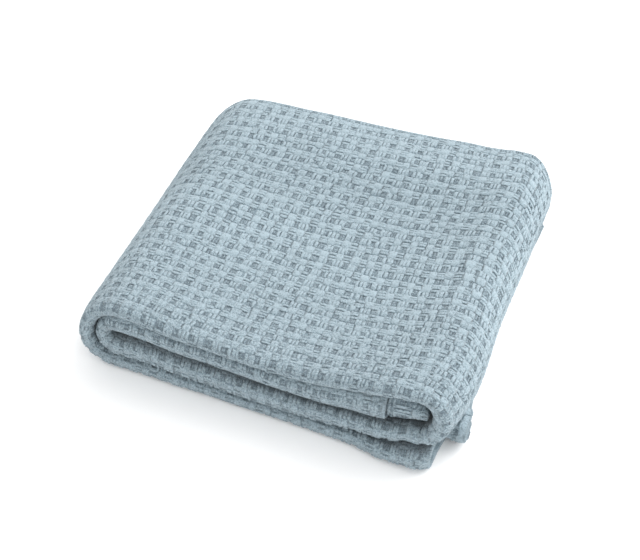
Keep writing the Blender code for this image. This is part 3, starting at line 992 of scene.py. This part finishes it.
class YarnField:
    """Lays short strands on one side of the cloth, where they float over its ground."""

    def __init__(self, middle, share, side, starts, material):
        self.middle = middle
        self.starts = starts
        self.share = share
        self.side = side
        self.normals = outward(middle) * (1.0 if side == "outer" else -1.0)
        self.along_strip = unit(np.gradient(middle, axis=0))
        self.across = unit(np.gradient(middle, axis=1))
        self.material = material
        self.random = np.random.default_rng(YARN_SEED)

    def cells(self, first_line, last_line, first_row, last_row):
        """Repeats of the weave whose middle lies between the given lines and rows."""
        reach = np.array(self.middle.shape[:2]) // CELL_LINES + 2
        u, v = [part.ravel() for part in np.meshgrid(*map(np.arange, reach), indexing="ij")]
        k, m = grid_place(u + 0.5, v + 0.5)
        inside = (k >= first_line) & (k < last_line)
        inside &= (m >= first_row * CELL_LINES) & (m < last_row * CELL_LINES)
        return u[inside], v[inside]

    def strands(self, cells, kind):
        """Points, places in the weave and lightness of all the strands of one kind."""
        shift = self.random.normal(0.0, BUNDLE_JITTER, (2, len(cells[0])))
        cell_u, cell_v = [
            np.repeat(part + move, len(kind.sides))[:, None] for part, move in zip(cells, shift)
        ]
        sides = np.tile(kind.sides, len(cells[0]))
        jitter = self.random.normal(0.0, 1.0, (7, len(sides), 1))
        start = kind.first + END_JITTER * jitter[0]
        end = kind.last + END_JITTER * jitter[1]
        run = start + (end - start) * RING_PLACES
        sway = SWAY * jitter[2] * np.sin(np.pi * RING_PLACES)
        side = sides[:, None] + SIDE_JITTER * jitter[3] + sway
        u = cell_u + (side if kind.across else run)
        v = cell_v + (run if kind.across else side)
        k, m = grid_place(u, v)
        rise = kind.lift * (1.0 + LIFT_JITTER * jitter[4]) * RING_RISE + RING_DIVE
        rise = YARN_SUNK + (rise - YARN_SUNK) * between(self.share, k, m)
        size = (1.0 + WIDTH_JITTER * jitter[5]) * RING_SIZE
        wide = (kind.half_width * size)[..., None] * SECTION[:, 0]
        high = (kind.half_height * size)[..., None] * SECTION[:, 1]
        normal = between(self.normals, k, m)
        sideways = between(self.along_strip if kind.across else self.across, k, m)
        lift = CLOTH_THICKNESS / 2 - GROUND_SINK + rise
        centre = between(self.middle, k, m) + normal * lift[..., None]
        points = ring_points(centre, sideways, normal, wide, high)
        spread = wide / REPEAT_MM
        places = np.stack(
            [u[..., None] + spread * kind.across, v[..., None] + spread * (not kind.across)],
            axis=-1,
        )
        tone = kind.light * (1.0 + TONE_JITTER * jitter[6])
        depth = np.ones(k.shape)
        if self.side == "outer":
            # Painted shade towards the front, and far in between two layers.
            tone = tone * np.interp(m / CELL_LINES, PAINTED_SHADE_FRONT_ROWS, PAINTED_SHADE_TO_FRONT)
            depth = painted_gap_shade(k, m, self.starts)
        else:
            # Painted shade towards the hidden end.
            tone = tone * np.interp(k / CELL_LINES, PAINTED_SHADE_INNER_AT, PAINTED_SHADE_INNER)
        light = (tone * RING_PAINTED_SHADE)[..., None] * SECTION_PAINTED_SHADE
        return points, places, light, np.broadcast_to(depth[..., None], light.shape)

    def hem(self, name, lines, rows, inward):
        """Short strands wound round the cloth's edge, one at each of its lines and rows.

        Inward is the way from the edge into the cloth, in lines along and across.
        """
        count = len(lines)
        inset = np.array(HEM_INSETS)
        jitter = self.random.normal(0.0, 1.0, (3, count, 1))
        k = lines[:, None] + inward[0] * inset * (1.0 + HEM_JITTER * jitter[0])
        m = rows[:, None] + inward[1] * inset * (1.0 + HEM_JITTER * jitter[0])
        normal = between(self.normals, k, m)
        along_strip = between(self.along_strip, k, m)
        across = between(self.across, k, m)
        out = -(along_strip * inward[0] + across * inward[1])
        turn = np.linspace(0.0, math.pi, len(HEM_INSETS))[:, None]
        radial = unit(normal * np.cos(turn) + out * np.sin(turn))
        sideways = across if inward[0] else along_strip
        lift = HEM_LIFT * (1.0 + HEM_JITTER * jitter[1]) + np.array(HEM_DIVE)
        centre = between(self.middle, k, m) + radial * (CLOTH_THICKNESS / 2 + lift)[..., None]
        wide = HEM_HALF_WIDTH * (1.0 + HEM_JITTER * jitter[2]) * RING_SIZE
        wide = wide[..., None] * SECTION[:, 0]
        high = HEM_HALF_HEIGHT * SECTION[:, 1]
        points = ring_points(centre, sideways, radial, wide, high)
        places = [way[..., None] / CELL_LINES + wide / REPEAT_MM for way in (k, m)]
        light = np.broadcast_to(HEM_LIGHT * SECTION_PAINTED_SHADE, wide.shape)
        turned = (inward[0] + inward[1] > 0) == bool(inward[0])
        faces = copied_faces(0, *points.shape[:3], turned)
        parts = [(points, np.stack(places, axis=-1), light, np.ones(light.shape))]
        return self.mesh_of(name, parts, faces)

    def piece(self, name, cells, kinds=None):
        """One mesh of all the strands in the cells."""
        parts, faces, start = [], [], 0
        for kind in kinds or FLOATS:
            parts.append(self.strands(cells, kind))
            count, rings, corners = parts[-1][0].shape[:3]
            turned = kind.across == (self.side == "outer")
            faces += copied_faces(start, count, rings, corners, turned)
            start += rings * corners * count
        return self.mesh_of(name, parts, faces)

    def mesh_of(self, name, parts, faces):
        """Mesh of strands in one or more parts, with none of their points under the floor."""
        points, places, light, depth = [
            np.concatenate([values.reshape((-1,) + values.shape[3:]) for values in kind])
            for kind in zip(*parts)
        ]
        points[:, 2] = np.maximum(points[:, 2], 0.0)
        return mesh_object(name, points, faces, places, (light, depth), self.material)


def strand_faces(rings, corners, turned):
    """Faces of one strand, closed at both ends and facing outwards."""
    quads = [(0, 1, 2, 3), (0, 3, 4, 5)]
    for ring in range(rings - 1):
        for i in range(corners):
            j = (i + 1) % corners
            a, b = corners * ring, corners * (ring + 1)
            quads.append((a + i, b + i, b + j, a + j))
    last = corners * (rings - 1)
    quads += [(last + 3, last + 2, last + 1, last), (last + 5, last + 4, last + 3, last)]
    quads = np.array(quads)
    return quads if turned else quads[:, ::-1]


def copied_faces(start, count, rings, corners, turned):
    """Faces of many strands alike, whose points follow each other from the start."""
    quads = strand_faces(rings, corners, turned)
    first = start + rings * corners * np.arange(count)
    return (first[:, None, None] + quads[None]).reshape(-1, 4).tolist()


def yarn_fields(settings, middle, starts):
    """What lays strands on the outer and on the inner side of the cloth."""
    material = bpy.data.materials.get("blanket_cotton_yarn") or yarn_material(settings)
    outer_share, inner_share = relief_share(*middle.shape[:2], starts)
    outer = YarnField(middle, outer_share, "outer", starts, material)
    inner = YarnField(middle, inner_share, "inner", starts, material)
    return outer, inner


def build_strands(settings, middle, starts):
    """The floating strands wherever the cloth shows, in pieces by place."""
    outer, inner = yarn_fields(settings, middle, starts)
    lines_along = middle.shape[0] - 1
    front = FOLD_ROW - FOLD_REPEATS_OUTSIDE, FOLD_ROW + FOLD_REPEATS_INSIDE
    whole = 0, FOLD_ROW + FOLD_REPEATS_INSIDE
    behind = BACK_ROW - 1, BACK_ROW + 1
    tip = NESTED_ROW - NESTED_REPEATS, NESTED_ROW + NESTED_REPEATS
    free_end = FREE_END_CELLS * CELL_LINES
    hidden_end = lines_along - HIDDEN_END_CELLS * CELL_LINES
    made = [
        outer.piece(name, outer.cells(first, last, *rows))
        for name, first, last, rows in (
            ("yarns_top_back", starts["top"], starts["right"], (0, REPEATS_BACK_HALF)),
            ("yarns_top_front", starts["top"], starts["right"], (REPEATS_BACK_HALF, whole[1])),
            ("yarns_left_turn", starts["left"], starts["top"], whole),
            ("yarns_right_turn", starts["right"], starts["second"], whole),
            ("yarns_lowest_front", 0, starts["left"], front),
            ("yarns_inner_fronts", starts["second"], lines_along, front),
        )
    ]
    made.append(
        outer.piece("yarns_back_fold", outer.cells(0, lines_along, *behind), FLOATS[:-1])
    )
    made += [
        inner.piece(name, inner.cells(first, last, *tip))
        for name, first, last in (
            ("yarns_free_end", 0, free_end),
            ("yarns_hidden_end", hidden_end, lines_along),
        )
    ]
    return made


def build_hems(settings, middle, starts):
    """Strands wound round both free ends, and round the back edge where it is in sight."""
    outer, _ = yarn_fields(settings, middle, starts)
    lines_along, lines_across = middle.shape[0] - 1, middle.shape[1] - 1
    rows = np.arange(0.5, lines_across, 1.0)
    shown = np.arange(starts["left"], starts["second"], 1.0)
    return [
        outer.hem("hem_free_end", np.zeros(len(rows)), rows, (1, 0)),
        outer.hem("hem_hidden_end", np.full(len(rows), lines_along), rows, (-1, 0)),
        outer.hem("hem_back_edge", shown, np.zeros(len(shown)), (0, 1)),
    ]


# Sockets of the colour mix node, whose names come more than once.
MIX_FIRST, MIX_SECOND, MIX_RESULT = 6, 7, 2


class ShaderPlan:
    """Adds nodes to a material and joins them, so that a pattern reads as a formula."""

    def __init__(self, name):
        self.material = bpy.data.materials.new(name)
        self.material.use_nodes = True
        self.nodes = self.material.node_tree.nodes
        self.links = self.material.node_tree.links
        self.shader = self.nodes["Principled BSDF"]

    def set_input(self, socket, value):
        if isinstance(value, (int, float, tuple)):
            socket.default_value = value
        else:
            self.links.new(value, socket)

    def math(self, operation, first, second=0.0, third=0.0):
        node = self.nodes.new("ShaderNodeMath")
        node.operation = operation
        for socket, value in zip(node.inputs, (first, second, third)):
            self.set_input(socket, value)
        return node.outputs["Value"]

    def blend(self, share, first, second):
        """Number between first and second."""
        node = self.nodes.new("ShaderNodeMix")
        for name, value in (("Factor", share), ("A", first), ("B", second)):
            self.set_input(node.inputs[name], value)
        return node.outputs["Result"]

    def colour_blend(self, share, first, second, way="MIX"):
        node = self.nodes.new("ShaderNodeMix")
        node.data_type = "RGBA"
        node.blend_type = way
        self.set_input(node.inputs["Factor"], share)
        self.set_input(node.inputs[MIX_FIRST], first)
        self.set_input(node.inputs[MIX_SECOND], second)
        return node.outputs[MIX_RESULT]

    def weave_place(self):
        """Place in the weave, and its two parts: along the strip and across it."""
        node = self.nodes.new("ShaderNodeUVMap")
        node.uv_map = "weave"
        split = self.nodes.new("ShaderNodeSeparateXYZ")
        self.links.new(node.outputs["UV"], split.inputs["Vector"])
        return node.outputs["UV"], split.outputs["X"], split.outputs["Y"]

    def attribute(self, name):
        node = self.nodes.new("ShaderNodeAttribute")
        node.attribute_name = name
        return node.outputs["Fac"]

    def noise(self, place, size, detail=2.0):
        """Soft noise from 0 to 1 with features of about the given size."""
        node = self.nodes.new("ShaderNodeTexNoise")
        self.links.new(place, node.inputs["Vector"])
        node.inputs["Scale"].default_value = 1.0 / size
        node.inputs["Detail"].default_value = detail
        return node.outputs["Fac"]

    def bump(self, height, distance, strength=1.0):
        node = self.nodes.new("ShaderNodeBump")
        node.inputs["Strength"].default_value = strength
        node.inputs["Distance"].default_value = distance
        self.links.new(height, node.inputs["Height"])
        self.links.new(node.outputs["Normal"], self.shader.inputs["Normal"])


def strands_pattern(plan, place, count):
    """Rounded strands or blocks side by side: 0 between two of them, 1 on top of one."""
    wave = plan.math("SINE", plan.math("MULTIPLY", place, math.pi * count))
    return plan.math("POWER", plan.math("ABSOLUTE", wave), STRAND_ROUNDNESS)


def finish_cotton(plan, settings, place, light, height):
    """Colour and surface of cotton: light is 0 in the grooves and 1 on the strands, and both it and
    the depth attribute are painted into the colour as shade.
    """
    # Painted shade: the light blends from the shade colour in the grooves to the yarn colour.
    colour = plan.colour_blend(light, tuple(settings.painted_shade_colour), tuple(settings.yarn_colour))
    patches = plan.noise(place, PATCH_SIZE)
    tint = plan.math("MULTIPLY_ADD", patches, PATCH_STRENGTH, 1.0 - PATCH_STRENGTH / 2)
    # Painted shade far in between two layers, from the depth attribute.
    deep = plan.math("MULTIPLY_ADD", plan.attribute("depth"), 1.0 - PAINTED_SHADE_DARKEST, PAINTED_SHADE_DARKEST)
    tint = plan.math("MULTIPLY", tint, deep)
    shades = plan.nodes.new("ShaderNodeCombineColor")
    for name in ("Red", "Green", "Blue"):
        plan.links.new(tint, shades.inputs[name])
    colour = plan.colour_blend(1.0, colour, shades.outputs["Color"], "MULTIPLY")
    plan.links.new(colour, plan.shader.inputs["Base Color"])
    plan.shader.inputs["Roughness"].default_value = YARN_ROUGHNESS
    plan.shader.inputs["Specular IOR Level"].default_value = YARN_SPECULAR
    plan.shader.inputs["Sheen Weight"].default_value = YARN_SHEEN
    plan.shader.inputs["Sheen Roughness"].default_value = YARN_SHEEN_ROUGHNESS
    plan.bump(height, settings.strand_height)


def weave_material(settings):
    """Ground cloth: its hollows under the floats, painted dark as shade, and the whole weave where
    none are laid, with painted shade in its low parts.
    """
    plan = ShaderPlan("blanket_cotton_ground")
    place, u, v = plan.weave_place()
    right = plan.math("GREATER_THAN", plan.math("FRACT", u), 0.5)
    front = plan.math("GREATER_THAN", plan.math("FRACT", v), 0.5)
    strands_across = strands_pattern(plan, u, BLOCKS_PER_REPEAT * STRANDS_PER_BLOCK)
    strands_along = strands_pattern(plan, v, BLOCKS_PER_REPEAT * STRANDS_PER_BLOCK)
    humps = [strands_pattern(plan, way, BLOCKS_PER_REPEAT) for way in (u, v)]
    hump = plan.math("MULTIPLY", *humps)
    crossing = plan.math("MULTIPLY", strands_across, strands_along)
    float_across = plan.math("MULTIPLY_ADD", strands_across, *ACROSS_HEIGHT)
    float_along = plan.math("MULTIPLY_ADD", strands_along, *ALONG_HEIGHT)
    flat_square = plan.math("MULTIPLY_ADD", crossing, *SQUARE_HEIGHT)
    hollow = plan.math("MULTIPLY", crossing, HOLLOW_THREADS)
    left_column = plan.blend(front, float_across, flat_square)
    right_column = plan.blend(front, hollow, float_along)
    height = plan.blend(right, left_column, right_column)
    height = plan.math("MULTIPLY", height, plan.math("MULTIPLY_ADD", hump, *HUMP_HEIGHT))
    fuzz = plan.noise(place, FUZZ_SIZE, detail=4.0)
    height = plan.math("ADD", height, plan.math("MULTIPLY", fuzz, FUZZ_SHARE))
    bare = plan.attribute("shade")
    # Painted shade in the hollows under the floats, of uneven lightness.
    ground = plan.math("ADD", hollow, plan.math("MULTIPLY", fuzz, FUZZ_SHARE))
    uneven = plan.noise(place, HOLLOW_SIZE, detail=1.0)
    uneven = plan.math("MULTIPLY_ADD", uneven, HOLLOW_TONE, -HOLLOW_TONE / 2)
    ground = plan.math("ADD", ground, uneven)
    # Bare weave gets its heights as painted shade, covered places the hollows' painted shade.
    light = plan.blend(bare, ground, height)
    finish_cotton(plan, settings, place, light, height)
    return plan.material


def yarn_material(settings):
    """Soft spun strands: painted light on top and painted shade where they dip, twisted, with
    painted shade in the twist's grooves, and with loose fibres.
    """
    plan = ShaderPlan("blanket_cotton_yarn")
    place, u, v = plan.weave_place()
    slant = plan.math("ADD", u, v)
    twist = strands_pattern(plan, slant, TWISTS_PER_REPEAT)
    fibres = plan.noise(place, FIBRE_SIZE, detail=3.0)
    clumps = plan.noise(place, CLUMP_SIZE)
    # Painted light and shade of the strands, from the shade attribute.
    light = plan.attribute("shade")
    for pattern, tone in ((fibres, FIBRE_TONE), (clumps, CLUMP_TONE), (twist, TWIST_PAINTED_SHADE)):
        light = plan.math("ADD", light, plan.math("MULTIPLY_ADD", pattern, tone, -tone / 2))
    height = plan.math("MULTIPLY_ADD", fibres, FIBRE_HEIGHT, twist)
    finish_cotton(plan, settings, place, light, height)
    return plan.material


def floor_material(settings):
    """Pale matte floor with a faint grain."""
    plan = ShaderPlan("studio_floor")
    place = plan.nodes.new("ShaderNodeTexCoord").outputs["Object"]
    grain = plan.noise(place, FLOOR_GRAIN_SIZE)
    tone = tuple(settings.floor_colour)
    darker = tuple(part * FLOOR_GRAIN_TONE for part in tone[:3]) + (1.0,)
    plan.links.new(plan.colour_blend(grain, tone, darker), plan.shader.inputs["Base Color"])
    plan.shader.inputs["Roughness"].default_value = FLOOR_ROUGHNESS
    plan.shader.inputs["Specular IOR Level"].default_value = FLOOR_SPECULAR
    return plan.material


def build_floor(settings):
    """Plain floor that the stack lies on."""
    bpy.ops.mesh.primitive_plane_add(size=settings.floor_size, location=(0.0, 0.0, 0.0))
    floor = bpy.context.object
    floor.name = "studio_floor"
    bpy.ops.object.transform_apply(location=True, rotation=True, scale=True)
    floor.data.materials.append(floor_material(settings))
    return floor


def aim(thing, target):
    """Turns a light or camera so that it looks at the target."""
    way = Vector(target) - thing.location
    thing.rotation_euler = way.to_track_quat("-Z", "Y").to_euler()


def add_light(name, place, size, power, target):
    """Square lamp at a place, turned to the target."""
    light = bpy.data.lights.new(name, "AREA")
    light.shape = "SQUARE"
    light.size = size
    light.energy = power
    lamp = bpy.data.objects.new(name, light)
    bpy.context.scene.collection.objects.link(lamp)
    lamp.location = place
    aim(lamp, target)
    return lamp


def build_lights(settings):
    """Even white room light and the studio lamps."""
    world = bpy.data.worlds.new("studio_world")
    world.use_nodes = True
    background = world.node_tree.nodes["Background"]
    background.inputs["Color"].default_value = (1.0, 1.0, 1.0, 1.0)
    background.inputs["Strength"].default_value = settings.world_strength
    bpy.context.scene.world = world
    for name, place, size, power in STUDIO_LIGHTS:
        add_light(name, place, size, power * settings.light_strength, CAMERA_TARGET)


def build_camera(settings):
    """Camera at the photograph's angle, with the horizon level."""
    data = bpy.data.cameras.new("photo_camera")
    data.sensor_width = SENSOR_WIDTH
    data.lens = settings.camera_lens
    camera = bpy.data.objects.new("photo_camera", data)
    bpy.context.scene.collection.objects.link(camera)
    turn, tilt = settings.camera_turn, settings.camera_height
    way = Vector((math.sin(turn) * math.cos(tilt), -math.cos(turn) * math.cos(tilt), math.sin(tilt)))
    camera.location = Vector(CAMERA_TARGET) + way * settings.camera_distance
    aim(camera, CAMERA_TARGET)
    bpy.context.scene.camera = camera
    return camera


class BlanketSettings(bpy.types.PropertyGroup):
    hollow_depth: bpy.props.FloatProperty(
        name="Hollow depth",
        description="Depth of the weave's hollows under the ground cloth",
        default=0.0005,
        min=0.0,
        precision=4,
        unit="LENGTH",
    )
    strand_height: bpy.props.FloatProperty(
        name="Strand height",
        description="Depth of the grooves between the fibres of a strand",
        default=0.0004,
        min=0.0,
        precision=4,
        unit="LENGTH",
    )
    yarn_colour: bpy.props.FloatVectorProperty(
        name="Yarn colour",
        description="Colour on top of the strands",
        subtype="COLOR",
        size=4,
        min=0.0,
        max=1.0,
        default=(0.372, 0.472, 0.527, 1.0),
    )
    # Painted shade: the colour the cotton is given down between the strands and in the hollows.
    painted_shade_colour: bpy.props.FloatVectorProperty(
        name="Hollow colour",
        description="Colour down between the strands and in the hollows",
        subtype="COLOR",
        size=4,
        min=0.0,
        max=1.0,
        default=(0.135, 0.186, 0.22, 1.0),
    )


class StudioSettings(bpy.types.PropertyGroup):
    floor_size: bpy.props.FloatProperty(
        name="Floor size", description="Side of the floor", default=12.0, unit="LENGTH"
    )
    floor_colour: bpy.props.FloatVectorProperty(
        name="Floor colour",
        description="Colour of the floor",
        subtype="COLOR",
        size=4,
        min=0.0,
        max=1.0,
        default=(0.98, 0.98, 0.98, 1.0),
    )
    world_strength: bpy.props.FloatProperty(
        name="Room light", description="Strength of the even white light", default=1.18
    )
    light_strength: bpy.props.FloatProperty(
        name="Lamp light", description="Factor on the power of the studio lamps", default=1.0
    )
    camera_turn: bpy.props.FloatProperty(
        name="Camera turn",
        description="Angle of the camera from straight in front, to the right",
        default=math.radians(21.1),
        subtype="ANGLE",
    )
    camera_height: bpy.props.FloatProperty(
        name="Camera height",
        description="Angle of the camera over the floor",
        default=math.radians(47.0),
        subtype="ANGLE",
    )
    camera_distance: bpy.props.FloatProperty(
        name="Camera distance",
        description="Distance from the camera to the middle of the stack",
        default=0.835,
        unit="LENGTH",
    )
    camera_lens: bpy.props.FloatProperty(
        name="Lens", description="Focal length for a sensor 36 mm wide", default=73.125
    )


def carry(pieces):
    """Fixes pieces to the blanket's body."""
    for piece in pieces:
        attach(piece, "root")


class BLANKET_OT_cloth(bpy.types.Operator):
    """Builds the folded cloth and lets it stand for the plain solid"""

    bl_idname = "blanket.cloth"
    bl_label = "Folded cloth"

    def execute(self, context):
        cloth = build_cloth(context.scene.blanket_settings, *cloth_grid())
        carry([cloth])
        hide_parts("blanket")
        return {"FINISHED"}


class BLANKET_OT_strands(bpy.types.Operator):
    """Lays the strands of the weave on the cloth wherever it shows"""

    bl_idname = "blanket.strands"
    bl_label = "Strands of the weave"

    def execute(self, context):
        carry(build_strands(context.scene.blanket_settings, *cloth_grid()))
        return {"FINISHED"}


class BLANKET_OT_hems(bpy.types.Operator):
    """Winds the hems round the cloth's edges"""

    bl_idname = "blanket.hems"
    bl_label = "Hems"

    def execute(self, context):
        carry(build_hems(context.scene.blanket_settings, *cloth_grid()))
        return {"FINISHED"}


class BLANKET_OT_studio(bpy.types.Operator):
    """Builds the floor, the soft light and the camera"""

    bl_idname = "blanket.studio"
    bl_label = "Studio"

    def execute(self, context):
        settings = context.scene.studio_settings
        build_floor(settings)
        build_lights(settings)
        build_camera(settings)
        context.scene.view_settings.view_transform = "Standard"
        return {"FINISHED"}


class BLANKET_PT_panel(bpy.types.Panel):
    bl_label = "Folded crib blanket"
    bl_idname = "BLANKET_PT_panel"
    bl_space_type = "VIEW_3D"
    bl_region_type = "UI"
    bl_category = "Blanket"

    def draw(self, context):
        layout = self.layout
        for settings in (context.scene.blanket_settings, context.scene.studio_settings):
            for name in settings.__annotations__:
                layout.prop(settings, name)
        for operator in OPERATORS:
            layout.operator(operator.bl_idname)


OPERATORS = (BLANKET_OT_studio, BLANKET_OT_cloth, BLANKET_OT_strands, BLANKET_OT_hems)
CLASSES = (BlanketSettings, StudioSettings) + OPERATORS + (BLANKET_PT_panel,)


def register():
    for item in CLASSES:
        bpy.utils.register_class(item)
    bpy.types.Scene.blanket_settings = bpy.props.PointerProperty(type=BlanketSettings)
    bpy.types.Scene.studio_settings = bpy.props.PointerProperty(type=StudioSettings)


def unregister():
    del bpy.types.Scene.studio_settings
    del bpy.types.Scene.blanket_settings
    for item in reversed(CLASSES):
        bpy.utils.unregister_class(item)


def main():
    register()
    bpy.ops.blanket.studio()
    bpy.ops.blanket.cloth()
    bpy.ops.blanket.strands()
    bpy.ops.blanket.hems()


if __name__ == "__main__":
    main()
